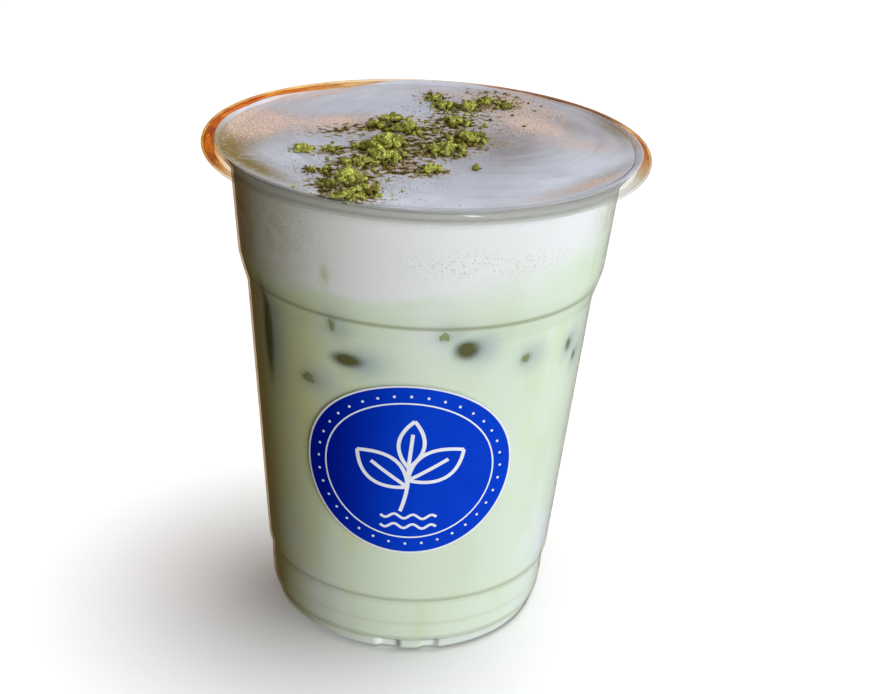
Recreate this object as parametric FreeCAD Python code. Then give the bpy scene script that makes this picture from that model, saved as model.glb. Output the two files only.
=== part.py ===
import FreeCAD, Part
import math
import os

# An iced matcha latte in a clear takeaway cup, filled to the rim with milk foam.
# Units are millimetres and degrees. +Z is up, the front with the label faces -Y, and the
# origin is the middle of the foot, on the surface that the cup stands on.

# Overall sizes of the cup
cup_height = 110.3          # table to the top of the rolled rim
rim_diameter = 95.0         # outside of the rolled rim
foot_diameter = 60.2        # outside of the foot ring, where it meets the table
wall = 0.5                  # thickness of the formed sheet
tight_bend = 0.4            # inside of a tight bend of the sheet
soft_bend = 2.0             # inside of a soft bend of the sheet

# Foot: a hollow ring with a raised floor inside it
foot_height = 3.8           # table to the groove above the ring
foot_flare = 1.0            # how far the ring's outside leans out up to the groove
foot_bend = 0.7             # inside of the bend where it meets the table
ring_width = 5.0            # of the ring at the table
ring_lean = 1.2             # how far the ring's inner side leans inwards up to the floor
floor_lift = 3.0            # table to the underside of the floor

# Band between the groove and the step: how far it stands out past the foot, and heights
groove_rise = 0.6           # of the band's low edge over the groove
band_low_flare = 1.5
band_bulge_flare = 1.85
band_bulge_height = 8.4
band_top_flare = 1.9
band_top_height = 13.1

# Low end of the tapered wall, at the step above the band
wall_low_flare = 2.75
wall_low_height = 15.2

# Upper part, in from the outside of the rim and down from its top
wall_top_inset = 9.6        # high end of the tapered wall
wall_top_drop = 31.9
shoulder_inset = 8.25       # shoulder, where stacked cups rest
shoulder_drop = 27.3
upper_inset = 7.65          # low end of the upper wall
upper_drop = 24.9
neck_inset = 6.0            # where the upper wall turns out to the rim
neck_drop = 5.7

# Rolled rim
roll_diameter = 3.2
roll_end = -135.0           # where the roll stops, as an angle about its middle

# Notches in the foot ring, in pairs
notch_pairs = 4
notch_depth = 1.0
notch_widths = (4.5, 3.6)
notch_angles = (-6.2, 11.3)     # of a pair's two notches, from the front towards +X
notch_below_groove = 0.9        # from the groove down to a notch's top
notch_rounding = 0.6

# Drink
foam_drop = 1.6             # top of the rim down to the foam
milk_drop = 21.3            # top of the rim down to where the foam meets the latte on the axis
milk_tilt = 0.11            # rise of that surface towards +X, per millimetre
milk_curve = 0.0022         # how fast that rise grows, per millimetre squared
ripple = 0.6                # height of its ripples
ripple_length = 26.0
grid_step = 6.0             # spacing of the points that the surface is drawn through

# Label
label_width = 45.6          # along the wall
label_length = 41.4         # up the wall
label_rise = 33.6           # step under the wall up to the label's middle
label_angle = -0.9          # from the front towards +X
label_thickness = 0.12
outline_points = 48         # that the label's outline is drawn through

axis_z = FreeCAD.Vector(0, 0, 1)
origin = FreeCAD.Vector(0, 0, 0)
rim_radius = rim_diameter / 2
roll_radius = roll_diameter / 2
roll_middle = (rim_radius - roll_radius, cup_height - roll_radius)
foot_radius = foot_diameter / 2
wall_low = (foot_radius + wall_low_flare, wall_low_height)
wall_top = (rim_radius - wall_top_inset, cup_height - wall_top_drop)
label_height = wall_low_height + label_rise


def outer_corners():
    """Corners (radius, height, bend) of the cup's outer skin, from under the floor to the neck."""
    ring_inner = foot_radius - ring_width
    return [
        (0.0, floor_lift, 0.0),
        (ring_inner - ring_lean, floor_lift, tight_bend),
        (ring_inner, 0.0, tight_bend),
        (foot_radius, 0.0, foot_bend),
        (foot_radius + foot_flare, foot_height, tight_bend),
        (foot_radius + band_low_flare, foot_height + groove_rise, tight_bend),
        (foot_radius + band_bulge_flare, band_bulge_height, soft_bend),
        (foot_radius + band_top_flare, band_top_height, tight_bend),
        wall_low + (tight_bend,),
        wall_top + (soft_bend,),
        (rim_radius - shoulder_inset, cup_height - shoulder_drop, tight_bend),
        (rim_radius - upper_inset, cup_height - upper_drop, soft_bend),
        (rim_radius - neck_inset, cup_height - neck_drop, soft_bend),
    ]


def flare_end(start):
    """Where the run from the neck touches the inside of the roll, as (radius, height), and its angle."""
    across = roll_middle[0] - start[0]
    up = roll_middle[1] - start[1]
    gap = math.hypot(across, up)
    inside = roll_radius - wall
    angle = math.atan2(up, across) + math.asin(inside / gap)
    run = math.sqrt(gap ** 2 - inside ** 2)
    return (start[0] + run * math.cos(angle), start[1] + run * math.sin(angle)), angle


def unit(a, b):
    """The direction from corner a to corner b."""
    across, up = b[0] - a[0], b[1] - a[1]
    length = math.hypot(across, up)
    return across / length, up / length


def turn(before, after):
    """The angle between two directions, positive to the left."""
    cross = before[0] * after[1] - before[1] * after[0]
    dot = before[0] * after[0] + before[1] * after[1]
    return math.atan2(cross, dot)


def moved_left(corners, distance):
    """The same path moved to its left: each corner goes to where its two moved runs meet."""
    runs = [unit(a, b) for a, b in zip(corners, corners[1:])]
    moved = []
    for i, (radius, height, bend) in enumerate(corners):
        before = runs[max(i - 1, 0)]
        after = runs[min(i, len(runs) - 1)]
        across = -(before[1] + after[1])
        up = before[0] + after[0]
        scale = distance / (1 + before[0] * after[0] + before[1] * after[1])
        moved.append((radius + across * scale, height + up * scale, bend))
    return moved


def point(place):
    """A (radius, height) pair as a point in the XZ plane."""
    return FreeCAD.Vector(place[0], 0, place[1])


def straight(a, b):
    return Part.LineSegment(point(a), point(b)).toShape()


def skin(corners, left_side):
    """Edges along a path with its bends rounded, on the outer side of the sheet or its left side."""
    edges = []
    last = corners[0]
    for before, corner, after in zip(corners, corners[1:], corners[2:]):
        way_in, way_out = unit(before, corner), unit(corner, after)
        angle = turn(way_in, way_out)
        outside_of_bend = (angle < 0) == left_side
        bend = corner[2] + (wall if outside_of_bend else 0)
        cut = bend * math.tan(abs(angle) / 2)
        start = (corner[0] - cut * way_in[0], corner[1] - cut * way_in[1])
        end = (corner[0] + cut * way_out[0], corner[1] + cut * way_out[1])
        across, up = way_out[0] - way_in[0], way_out[1] - way_in[1]
        sink = bend * (1 / math.cos(angle / 2) - 1) / math.hypot(across, up)
        middle = (corner[0] + across * sink, corner[1] + up * sink)
        edges.append(straight(last, start))
        edges.append(Part.Arc(point(start), point(middle), point(end)).toShape())
        last = end
    edges.append(straight(last, corners[-1]))
    return edges


def roll_arc(radius, start_angle):
    """The roll's arc of that radius, from where the flare meets it over the top to its end."""
    end_angle = math.radians(roll_end)
    places = []
    for angle in (start_angle, (start_angle + end_angle) / 2, end_angle):
        places.append((roll_middle[0] + radius * math.cos(angle), roll_middle[1] + radius * math.sin(angle)))
    return Part.Arc(*[point(p) for p in places]).toShape(), places[-1]


def turned(edges):
    """The solid that a closed outline of edges makes when it turns about the axis."""
    outline = Part.Wire(Part.sortEdges(edges)[0])
    solid = Part.Face(outline).revolve(origin, axis_z, 360)
    return solid if solid.Volume > 0 else solid.reversed()


def sheet_paths():
    """The outer skin's corners up to the roll, the inner skin's, and the flare's angle."""
    corners = outer_corners()
    end, angle = flare_end(corners[-1])
    outer = corners + [(end[0], end[1], 0.0)]
    return outer, moved_left(outer, wall), angle


def plain_cup():
    """The formed sheet with its rolled rim, before the notches."""
    outer, inner, angle = sheet_paths()
    start_angle = angle + math.pi / 2
    inside_arc, inside_end = roll_arc(roll_radius - wall, start_angle)
    outside_arc, outside_end = roll_arc(roll_radius, start_angle)
    edges = skin(outer, False) + skin(inner, True)
    edges += [inside_arc, outside_arc, straight(inside_end, outside_end), straight(outer[0], inner[0])]
    return turned(edges)


def filled(corners, left_side):
    """The solid inside one skin of the sheet, closed at its top."""
    top = corners[-1]
    edges = skin(corners, left_side)
    edges += [straight(top, (0, top[1])), straight((0, top[1]), corners[0])]
    return turned(edges)


def notch_block(angle, width, grow):
    """A rounded block that reaches in over the foot ring, larger on every side by grow."""
    top = foot_height - notch_below_groove + grow
    inner = foot_radius - notch_depth - grow
    half = width / 2 + grow
    reach = foot_flare + 2 * notch_depth + grow
    corner = FreeCAD.Vector(-half, -inner - reach, -foot_height)
    block = Part.makeBox(2 * half, reach, top + foot_height, corner)
    inner_uprights = [e for e in block.Edges if is_upright(e) and e.BoundBox.YMin > -inner - reach / 2]
    block = block.makeFillet(notch_rounding + grow, inner_uprights)
    block.rotate(origin, axis_z, angle)
    return block


def is_upright(edge):
    return edge.BoundBox.ZLength > max(edge.BoundBox.XLength, edge.BoundBox.YLength)


def notch_blocks(grow):
    """The blocks of all the notches, pair by pair round the foot."""
    blocks = []
    for pair in range(notch_pairs):
        for angle, width in zip(notch_angles, notch_widths):
            blocks.append(notch_block(angle + pair * 360 / notch_pairs, width, grow))
    return blocks


def make_cup():
    """The clear cup: the formed sheet follows each notch of the foot ring inwards."""
    outer, _, _ = sheet_paths()
    voids = notch_blocks(0)
    pockets = Part.makeCompound(notch_blocks(wall)).cut(voids).common(filled(outer, False))
    return plain_cup().cut(voids).fuse(pockets).removeSplitter()


def make_contents():
    """All that fills the cup, up to the foam's top."""
    _, inner, _ = sheet_paths()
    below_top = Part.makeCylinder(rim_radius, cup_height - foam_drop)
    return filled(inner, True).common(below_top).cut(notch_blocks(wall))


def milk_height(x, y):
    """Height of the uneven surface where the latte ends and the foam begins."""
    slope = cup_height - milk_drop + milk_tilt * x + milk_curve * x * x
    waves = math.sin(2 * math.pi * x / ripple_length) + math.cos(2 * math.pi * y / ripple_length)
    return slope + ripple / 2 * waves


def below_milk_line():
    """A block wider than the cup whose top is the uneven surface."""
    steps = math.ceil(rim_radius / grid_step)
    places = [i * grid_step for i in range(-steps, steps + 1)]
    rows = [[FreeCAD.Vector(x, y, milk_height(x, y)) for y in places] for x in places]
    surface = Part.BSplineSurface()
    surface.interpolate(rows)
    return surface.toShape().extrude(FreeCAD.Vector(0, 0, -cup_height))


def wall_radius(height):
    """Outer radius of the tapered wall at a height."""
    share = (height - wall_low[1]) / (wall_top[1] - wall_low[1])
    return wall_low[0] + share * (wall_top[0] - wall_low[0])


def label_outline():
    """The label's outline as seen from the front: an ellipse laid along the wall, as a flat face."""
    taper = math.atan2(wall_top[0] - wall_low[0], wall_top[1] - wall_low[1])
    places = []
    for i in range(outline_points):
        angle = 2 * math.pi * i / outline_points
        height = label_height + label_length / 2 * math.sin(angle) * math.cos(taper)
        radius = wall_radius(height)
        round_wall = math.radians(label_angle) + label_width / 2 * math.cos(angle) / radius
        places.append(FreeCAD.Vector(radius * math.sin(round_wall), 0, height))
    curve = Part.BSplineCurve()
    curve.interpolate(places, PeriodicFlag=True)
    return Part.Face(Part.Wire(curve.toShape()))


def make_label():
    """The thin paper label, laid on the tapered wall."""
    margin = label_thickness
    low = label_height - label_length / 2 - margin
    high = label_height + label_length / 2 + margin
    inner_low, inner_high = wall_radius(low), wall_radius(high)
    places = [
        (inner_low, low),
        (inner_low + label_thickness, low),
        (inner_high + label_thickness, high),
        (inner_high, high),
    ]
    edges = [straight(a, b) for a, b in zip(places, places[1:] + places[:1])]
    return turned(edges).common(label_outline().extrude(FreeCAD.Vector(0, -rim_diameter, 0)))


def one_solid(shape, name):
    """The shape's only solid, with its volume printed."""
    assert len(shape.Solids) == 1, (name, len(shape.Solids))
    solid = shape.Solids[0]
    assert solid.isValid(), name
    print(name, "volume", round(solid.Volume / 1000, 2), "ml")
    return solid


def main():
    contents = make_contents()
    lower = below_milk_line()
    nodes = {
        "cup": make_cup(),
        "latte": contents.common(lower),
        "foam": contents.cut(lower),
        "label": make_label(),
    }
    os.makedirs("parts", exist_ok=True)
    for name, shape in nodes.items():
        one_solid(shape, name).exportStep("parts/" + name + ".step")


main()
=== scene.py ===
import math

import bmesh
import bpy
import numpy as np
from mathutils import Matrix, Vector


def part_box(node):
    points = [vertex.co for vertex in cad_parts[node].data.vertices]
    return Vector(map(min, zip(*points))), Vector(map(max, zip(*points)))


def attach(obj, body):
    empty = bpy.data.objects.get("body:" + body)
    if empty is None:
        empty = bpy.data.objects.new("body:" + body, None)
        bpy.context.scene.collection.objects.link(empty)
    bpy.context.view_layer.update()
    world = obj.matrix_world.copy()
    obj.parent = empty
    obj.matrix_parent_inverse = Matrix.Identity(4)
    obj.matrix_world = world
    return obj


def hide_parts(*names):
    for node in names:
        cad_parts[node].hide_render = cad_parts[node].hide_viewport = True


# An iced matcha latte with milk foam in a clear takeaway cup. Sizes are in millimetres and angles
# in degrees unless a name says otherwise; a mesh is turned into metres when it is made. The front
# faces -Y, and angles round the cup are counted from the front towards +X.

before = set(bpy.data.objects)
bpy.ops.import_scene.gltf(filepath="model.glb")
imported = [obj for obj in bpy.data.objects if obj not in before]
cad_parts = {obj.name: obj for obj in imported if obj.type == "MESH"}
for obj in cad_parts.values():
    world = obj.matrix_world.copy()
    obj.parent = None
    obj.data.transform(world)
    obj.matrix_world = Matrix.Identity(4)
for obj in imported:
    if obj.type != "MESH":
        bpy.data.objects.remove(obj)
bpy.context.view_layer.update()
MM = 0.001
seeded = np.random.default_rng(7)


def box_mm(node_name):
    """Lowest and highest corner of a CAD node, in millimetres."""
    low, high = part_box(node_name)
    return np.array(low) / MM, np.array(high) / MM


# Sizes of the cup's sheet, and its overall sizes from the frame

cup_low, cup_high = box_mm("cup")
RIM = (cup_high[0] - cup_low[0]) / 2
TOP = cup_high[2]
FOAM_TOP = box_mm("foam")[1][2]
WALL = 0.5                   # thickness of the sheet
FOOT = 30.1                  # radius of the foot ring on the table
FLOOR_LIFT = 3.0             # table to the underside of the floor
GROOVE_TOP = 4.4             # table to the top of the groove over the foot ring
WALL_LOW_FLARE = 2.75        # how far the wall's low end stands out past the foot, and its height
WALL_LOW = 15.2
WALL_TOP_INSET = 9.6         # how far the wall's high end is in from the rim, and down from the top
WALL_TOP_DROP = 31.9
NOTCH_DEPTH = 1.0            # notches of the foot ring, in four pairs
NOTCH_TOP = 2.9
NOTCH_WIDTHS = (4.5, 3.6)
NOTCH_ANGLES = (-6.2, 11.3)
NOTCH_EDGE = 1.5             # width of a notch's rounded side
ROLL = 1.6                   # radius of the rolled rim, and where the roll stops
ROLL_END = -135.0
REACH = 0.06                 # how far what fills the cup reaches into its wall
TIGHT, SOFT = 0.4, 2.0       # inside radius of a tight and of a soft bend
MILK_MIDDLE = TOP - 21.3     # height where drink and foam meet, in the cup's middle
LABEL_HALF = np.array([22.8, 20.7])
LABEL_ANGLE = -0.9
PAPER = 0.12


def cup_corners():
    """Corners (radius, height, inside bend) of the sheet's outer skin, from under the floor to the neck."""
    return np.array([
        (0.0, FLOOR_LIFT, 0.0),
        (FOOT - 6.2, FLOOR_LIFT, TIGHT),
        (FOOT - 5.0, 0.0, TIGHT),
        (FOOT, 0.0, 0.7),
        (FOOT + 1.0, 3.8, TIGHT),
        (FOOT + 1.5, GROOVE_TOP, TIGHT),
        (FOOT + 1.85, 8.4, SOFT),
        (FOOT + 1.9, 13.1, TIGHT),
        (FOOT + WALL_LOW_FLARE, WALL_LOW, TIGHT),
        (RIM - WALL_TOP_INSET, TOP - WALL_TOP_DROP, SOFT),
        (RIM - 8.25, TOP - 27.3, TIGHT),
        (RIM - 7.65, TOP - 24.9, SOFT),
        (RIM - 6.0, TOP - 5.7, SOFT),
    ])


def flare():
    """The run from the neck to the inside of the rolled rim: its end, and its direction as an angle."""
    start = cup_corners()[-1, :2]
    across, up = RIM - ROLL - start[0], TOP - ROLL - start[1]
    gap = math.hypot(across, up)
    angle = math.atan2(up, across) + math.asin((ROLL - WALL) / gap)
    run = math.sqrt(gap ** 2 - (ROLL - WALL) ** 2)
    return start + run * np.array([math.cos(angle), math.sin(angle)]), angle


def bent_path(shift, bend_steps=7):
    """Points (radius, height) along the sheet, moved from its outer skin towards the inside by shift.
    Each corner becomes an arc about the same middle for every shift, so that the sheet is even."""
    corners = np.vstack([cup_corners(), [*flare()[0], 0.0]])
    runs = np.diff(corners[:, :2], axis=0)
    runs /= np.hypot(*runs.T)[:, None]
    normals = np.stack([-runs[:, 1], runs[:, 0]], 1)
    path = [corners[0, :2] + shift * normals[0]]
    for corner, way_in, way_out, n_in, n_out in zip(corners[1:-1], runs, runs[1:], normals, normals[1:]):
        turn = math.atan2(way_in[0] * way_out[1] - way_in[1] * way_out[0], way_in @ way_out)
        side = math.copysign(1, turn)
        bend = corner[2] + (WALL if side > 0 else 0)
        middle = corner[:2] + side * bend * (n_in + n_out) / (1 + n_in @ n_out)
        start = math.atan2(*(-side * n_in)[::-1])
        angles = start + turn * np.linspace(0, 1, bend_steps)
        reach = bend - side * shift
        path.extend(middle + reach * np.stack([np.cos(angles), np.sin(angles)], 1))
    path.append(corners[-1, :2] + shift * normals[-1])
    return np.array(path)


def refined(path, spacing, low_spacing):
    """The same path with more points along it: spacing apart, and low_spacing apart on its last 8 mm
    below the groove."""
    along = np.concatenate([[0], np.cumsum(np.hypot(*np.diff(path, axis=0).T))])
    foot_end = along[path[:, 1] < GROOVE_TOP].max()
    even = np.arange(0, along[-1], spacing)
    low = np.arange(foot_end - 8, foot_end, low_spacing)
    more = np.unique(np.round(np.concatenate([along, even, low]), 4))
    more = more[(more >= 0) & (more <= along[-1])]
    return np.stack([np.interp(more, along, path[:, 0]), np.interp(more, along, path[:, 1])], 1)


def notch_places():
    """Angle and width of each notch round the foot."""
    return [(a + 90 * k, w) for k in range(4) for a, w in zip(NOTCH_ANGLES, NOTCH_WIDTHS)]


def round_angles(count, per_edge):
    """Angles round the cup, in radians: an even count, with per_edge more across each side of a notch."""
    extra = [
        math.radians(a) + side * width / 2 / FOOT + np.linspace(-0.6, 0.6, per_edge) * NOTCH_EDGE / FOOT
        for a, width in notch_places() for side in (-1, 1)
    ]
    even = np.linspace(0, 2 * math.pi, count, endpoint=False)
    angles = np.unique(np.round(np.concatenate([even, *extra]) % (2 * math.pi), 5))
    return angles[np.diff(angles, append=2 * math.pi + angles[0]) > 0.002]


def smooth(low, high, value):
    """0 below low, 1 above high, and an S curve between."""
    share = np.clip((value - low) / (high - low), 0, 1)
    return share * share * (3 - 2 * share)


def notched(radius, height, angles, limit):
    """The radius with each notch of the foot pushed in nearly to limit. The push falls from 1 to 0 along
    an S curve across each side of the notch and over its top."""
    depth = np.zeros_like(angles)
    for middle, width in notch_places():
        off = (angles - math.radians(middle) + math.pi) % (2 * math.pi) - math.pi
        past_side = np.abs(off) * FOOT - width / 2
        depth = np.maximum(depth, 1 - smooth(-NOTCH_EDGE / 2, NOTCH_EDGE / 2, past_side))
    depth = depth * (1 - smooth(NOTCH_TOP - 0.4, NOTCH_TOP + 0.4, height))
    return radius - 0.98 * depth * np.maximum(radius - limit, 0)


# Making meshes

def grid_quads(rows, columns):
    """Quads between rows of a grid that closes on itself round its columns."""
    row = np.arange(rows - 1)[:, None] * columns
    here = np.arange(columns)[None, :]
    after = (here + 1) % columns
    return np.stack([row + here, row + after, row + columns + after, row + columns + here], -1).reshape(-1, 4)


def closed_rings(rings, start, end):
    """Points and faces of a closed skin through rings (rows, columns, 3), with a pole at each end."""
    rows, columns, _ = rings.shape
    points = np.vstack([rings.reshape(-1, 3), start, end])
    here = np.arange(columns)
    after = (here + 1) % columns
    last = (rows - 1) * columns
    first_fan = np.stack([after, here, np.full(columns, rows * columns)], -1)
    last_fan = np.stack([last + here, last + after, np.full(columns, rows * columns + 1)], -1)
    return points, grid_quads(rows, columns), np.vstack([first_fan, last_fan])


def enclosed(points, triangles):
    """Volume inside closed triangles: the sum of the cells from the origin to each."""
    a, b, c = (points[triangles[:, k]] for k in range(3))
    return np.einsum("ij,ij->i", a, np.cross(b, c)).sum() / 6


def piece(name, points, quads, triangles, values, material, crease=None):
    """A mesh from points in millimetres, its faces turned outwards, with a float attribute for each of
    values. It rides on the one body. Edges that turn by more than crease are sharp."""
    quads = np.asarray(quads, np.int64).reshape(-1, 4)
    triangles = np.asarray(triangles, np.int64).reshape(-1, 3)
    if enclosed(points, np.vstack([quads[:, :3], quads[:, [0, 2, 3]], triangles])) < 0:
        quads, triangles = quads[:, ::-1], triangles[:, ::-1]
    mesh = bpy.data.meshes.new(name)
    mesh.vertices.add(len(points))
    mesh.vertices.foreach_set("co", (points * MM).astype(np.float32).ravel())
    corners = np.concatenate([quads.ravel(), triangles.ravel()])
    mesh.loops.add(len(corners))
    mesh.loops.foreach_set("vertex_index", corners.astype(np.int32))
    sizes = np.concatenate([np.full(len(quads), 4), np.full(len(triangles), 3)])
    mesh.polygons.add(len(sizes))
    mesh.polygons.foreach_set("loop_start", (np.cumsum(sizes) - sizes).astype(np.int32))
    mesh.polygons.foreach_set("use_smooth", np.ones(len(sizes), bool))
    for key, value in values.items():
        layer = mesh.attributes.new(key, "FLOAT", "POINT")
        layer.data.foreach_set("value", np.asarray(value, np.float32).ravel())
    mesh.update()
    mesh.validate()
    if crease:
        mesh.set_sharp_from_angle(angle=math.radians(crease))
    made = bpy.data.objects.new(name, mesh)
    bpy.context.scene.collection.objects.link(made)
    mesh.materials.append(material)
    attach(made, "root")
    return made


# Materials

def colour(code):
    """An sRGB hex colour as linear red, green, blue and alpha."""
    parts = [int(code[i:i + 2], 16) / 255 for i in (1, 3, 5)]
    return tuple(p / 12.92 if p <= 0.04045 else ((p + 0.055) / 1.055) ** 2.4 for p in parts) + (1.0,)


def node(tree, kind, inputs=None, **settings):
    """Adds a node. A setting is a property of it, and an input is given a value or another node's socket."""
    made = tree.nodes.new(kind)
    for key, value in settings.items():
        setattr(made, key, value)
    for key, value in (inputs or {}).items():
        if isinstance(value, bpy.types.NodeSocket):
            tree.links.new(value, made.inputs[key])
        else:
            made.inputs[key].default_value = value
    return made


def per_mm(size):
    """The scale of a noise or cell texture whose features are about size millimetres."""
    return 1 / (size * MM)


def new_material(name):
    """An empty node material with its output node."""
    material = bpy.data.materials.new(name)
    material.use_nodes = True
    tree = material.node_tree
    tree.nodes.clear()
    return material, tree, node(tree, "ShaderNodeOutputMaterial")


def mixed(tree, factor, first, second):
    """The colour that goes from first to second by factor."""
    return node(tree, "ShaderNodeMix", {0: factor, 6: first, 7: second}, data_type="RGBA").outputs[2]


def maths(tree, operation, *values, clamp=False):
    """A sum worked out on numbers or sockets."""
    inputs = dict(enumerate(values))
    return node(tree, "ShaderNodeMath", inputs, operation=operation, use_clamp=clamp).outputs[0]


def between(tree, value, low, high, to_low=0.0, to_high=1.0):
    """value brought from the range low to high into to_low to to_high, and held there."""
    inputs = {0: value, 1: low, 2: high, 3: to_low, 4: to_high}
    return node(tree, "ShaderNodeMapRange", inputs, interpolation_type="SMOOTHSTEP").outputs[0]


def attribute(tree, name):
    """A piece's own float attribute."""
    return node(tree, "ShaderNodeAttribute", attribute_name=name).outputs["Fac"]


def place_on(tree):
    """Object coordinates, in metres."""
    return node(tree, "ShaderNodeTexCoord").outputs["Object"]


def along_axis(tree, axis):
    """How far a point lies along the axis numbered 0, 1 or 2, in metres."""
    return node(tree, "ShaderNodeSeparateXYZ", {0: place_on(tree)}).outputs[axis]


def stretched(tree, x, y, z):
    """Object coordinates scaled on each axis."""
    return node(tree, "ShaderNodeMapping", {"Vector": place_on(tree), "Scale": (x, y, z)}).outputs[0]


def cells(tree, size):
    """Distance from the nearest of cell middles that lie about size millimetres apart."""
    inputs = {"Vector": stretched(tree, 1, 1, 1), "Scale": per_mm(size)}
    return node(tree, "ShaderNodeTexVoronoi", inputs).outputs["Distance"]


def noise(tree, size, detail=3.0, stretch=(1, 1, 1), rough=0.5):
    """Soft noise with features of size millimetres, from 0 to 1."""
    place = stretched(tree, *stretch)
    inputs = {"Vector": place, "Scale": per_mm(size), "Detail": detail, "Roughness": rough}
    return node(tree, "ShaderNodeTexNoise", inputs).outputs["Fac"]


def principled(tree, out, base, roughness, **inputs):
    """The surface shader, joined to the output. An underscore in an input's name stands for a space."""
    values = {"Base Color": base, "Roughness": roughness}
    values.update({key.replace("_", " "): value for key, value in inputs.items()})
    shader = node(tree, "ShaderNodeBsdfPrincipled", values)
    tree.links.new(shader.outputs[0], out.inputs["Surface"])


def bumped(tree, height, depth, strength=1.0):
    """The normal of a surface raised by height, by depth millimetres."""
    inputs = {"Height": height, "Distance": depth * MM, "Strength": strength}
    return node(tree, "ShaderNodeBump", inputs).outputs[0]


# Painted shade lines where a bend of the sheet shows: height over the table, and how dark the painted line is
CREASE_SHADE_LINES = [(TOP - 27.5, 0.75), (WALL_LOW, 0.5), (8.5, 0.15), (3.7, 0.5)]


def clear_pet():
    """Thermoformed clear PET: a thin glossy skin that mirrors more at a slant, with faint draw lines
    up the wall from the forming, so that reflections waver, and a thin line of painted grey shade along
    each bend. The rim carries painted warm reflections in streaks round it, turning to a painted dark
    brown at the back right, and the left of the wall has a painted warm shade."""
    material, tree, out = new_material("thermoformed clear PET")
    facing = node(tree, "ShaderNodeLayerWeight", {"Blend": 0.5}).outputs["Facing"]
    steep = maths(tree, "POWER", facing, 5.0)
    mirror = maths(tree, "MULTIPLY_ADD", steep, 0.42, 0.035, clamp=True)
    normal = bumped(tree, noise(tree, 2.5, 2.0, (1, 1, 0.08)), 0.03)
    tint = mixed(tree, between(tree, facing, 0.6, 1.0), colour("#FDFEFE"), colour("#EDEBE6"))
    height = along_axis(tree, 2)
    # Painted shade lines along the bends of the sheet
    for crease, dark in CREASE_SHADE_LINES:
        away = maths(tree, "ABSOLUTE", maths(tree, "SUBTRACT", height, crease * MM))
        line = between(tree, away, 0.75 * MM, 0.05 * MM, 0.0, dark)
        tint = mixed(tree, line, tint, colour("#CFCDBB"))
    tint = mixed(tree, attribute(tree, "rim"), tint, colour("#F8F8F6"))
    # A painted warm shade on the wall's left
    tint = mixed(tree, attribute(tree, "painted_warm_shade"), tint, colour("#EEDDC6"))
    # Painted warm reflections in streaks on the rim, turning to a painted dark brown at the back right
    strands = noise(tree, 1.6, 3.0, (0.25, 0.25, 3.0))
    painted_amber = mixed(tree, between(tree, strands, 0.42, 0.62), colour("#F4C680"), colour("#FFE6AA"))
    lines = noise(tree, 1.1, 3.0, (0.12, 0.12, 2.5))
    painted_amber = mixed(tree, between(tree, lines, 0.54, 0.62, 0.0, 0.55), painted_amber, colour("#C07C3A"))
    painted_amber = mixed(tree, attribute(tree, "painted_dark_reflection"), painted_amber, colour("#A87444"))
    tint = mixed(tree, attribute(tree, "painted_rim_reflection"), tint, painted_amber)
    clear = node(tree, "ShaderNodeBsdfTransparent", {"Color": tint})
    polish = {"Color": colour("#FFFFFF"), "Roughness": 0.08, "Normal": normal}
    gloss = node(tree, "ShaderNodeBsdfGlossy", polish)
    haze = node(tree, "ShaderNodeBsdfDiffuse", {"Color": colour("#E6E8EA")})
    body = node(tree, "ShaderNodeMixShader", {0: 0.025, 1: clear.outputs[0], 2: haze.outputs[0]})
    skin = node(tree, "ShaderNodeMixShader", {0: mirror, 1: body.outputs[0], 2: gloss.outputs[0]})
    tree.links.new(skin.outputs[0], out.inputs["Surface"])
    return material


# Colours of the drink, its foam and the ice behind the wall
LATTE = "#DAE8D6"
LATTE_YELLOW = "#D6E0B0"
LATTE_DEEP = "#CAD9B2"
FOAM = "#F1F3F8"
MILK_BLUE = "#E4EAF0"
# Painted blue-grey shadow beside each piece of ice
ICE_PAINTED_SHADOW = "#A0B3B8"
ICE_DARK = "#4E5226"


def milk_colour(tree):
    """Colour of the milk drink and its foam by how much foam is in it, the same for both pieces, so
    that one runs into the other."""
    streaks = noise(tree, 4.0, 2.0, (1, 1, 0.05))
    clouds = noise(tree, 16.0, 4.0, (1, 1, 0.5))
    green = mixed(tree, between(tree, streaks, 0.54, 0.8, 0.0, 0.7), colour(LATTE), colour(LATTE_YELLOW))
    green = mixed(tree, between(tree, clouds, 0.5, 0.75, 0.0, 0.4), green, colour(LATTE_DEEP))
    green = mixed(tree, attribute(tree, "yellow"), green, colour("#DBE0A4"))
    ragged = maths(tree, "MULTIPLY_ADD", noise(tree, 9.0, 4.0), 0.6, -0.3)
    share = maths(tree, "ADD", attribute(tree, "foaminess"), ragged)
    white = mixed(tree, noise(tree, 20.0, 2.0), colour(FOAM), colour("#E8ECEE"))
    return mixed(tree, between(tree, share, 0.1, 0.9), green, white)


def latte_material():
    """Cold milk with green tea: smooth and opaque, with streaks down the wall, unmixed milk low down,
    and dark patches where ice lies close behind, each with a painted blue-grey shadow at its side."""
    material, tree, out = new_material("iced green tea milk")
    base = milk_colour(tree)
    pale = maths(tree, "MULTIPLY", attribute(tree, "pale"), between(tree, noise(tree, 6.0, 4.0), 0.25, 0.6))
    base = mixed(tree, pale, base, colour(MILK_BLUE))
    # A painted blue-grey shadow beside each piece of ice
    base = mixed(tree, attribute(tree, "ice_painted_shadow"), base, colour(ICE_PAINTED_SHADOW))
    base = mixed(tree, attribute(tree, "ice_dark"), base, colour(ICE_DARK))
    principled(tree, out, base, 0.45, Specular_IOR_Level=0.05)
    return material


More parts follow.
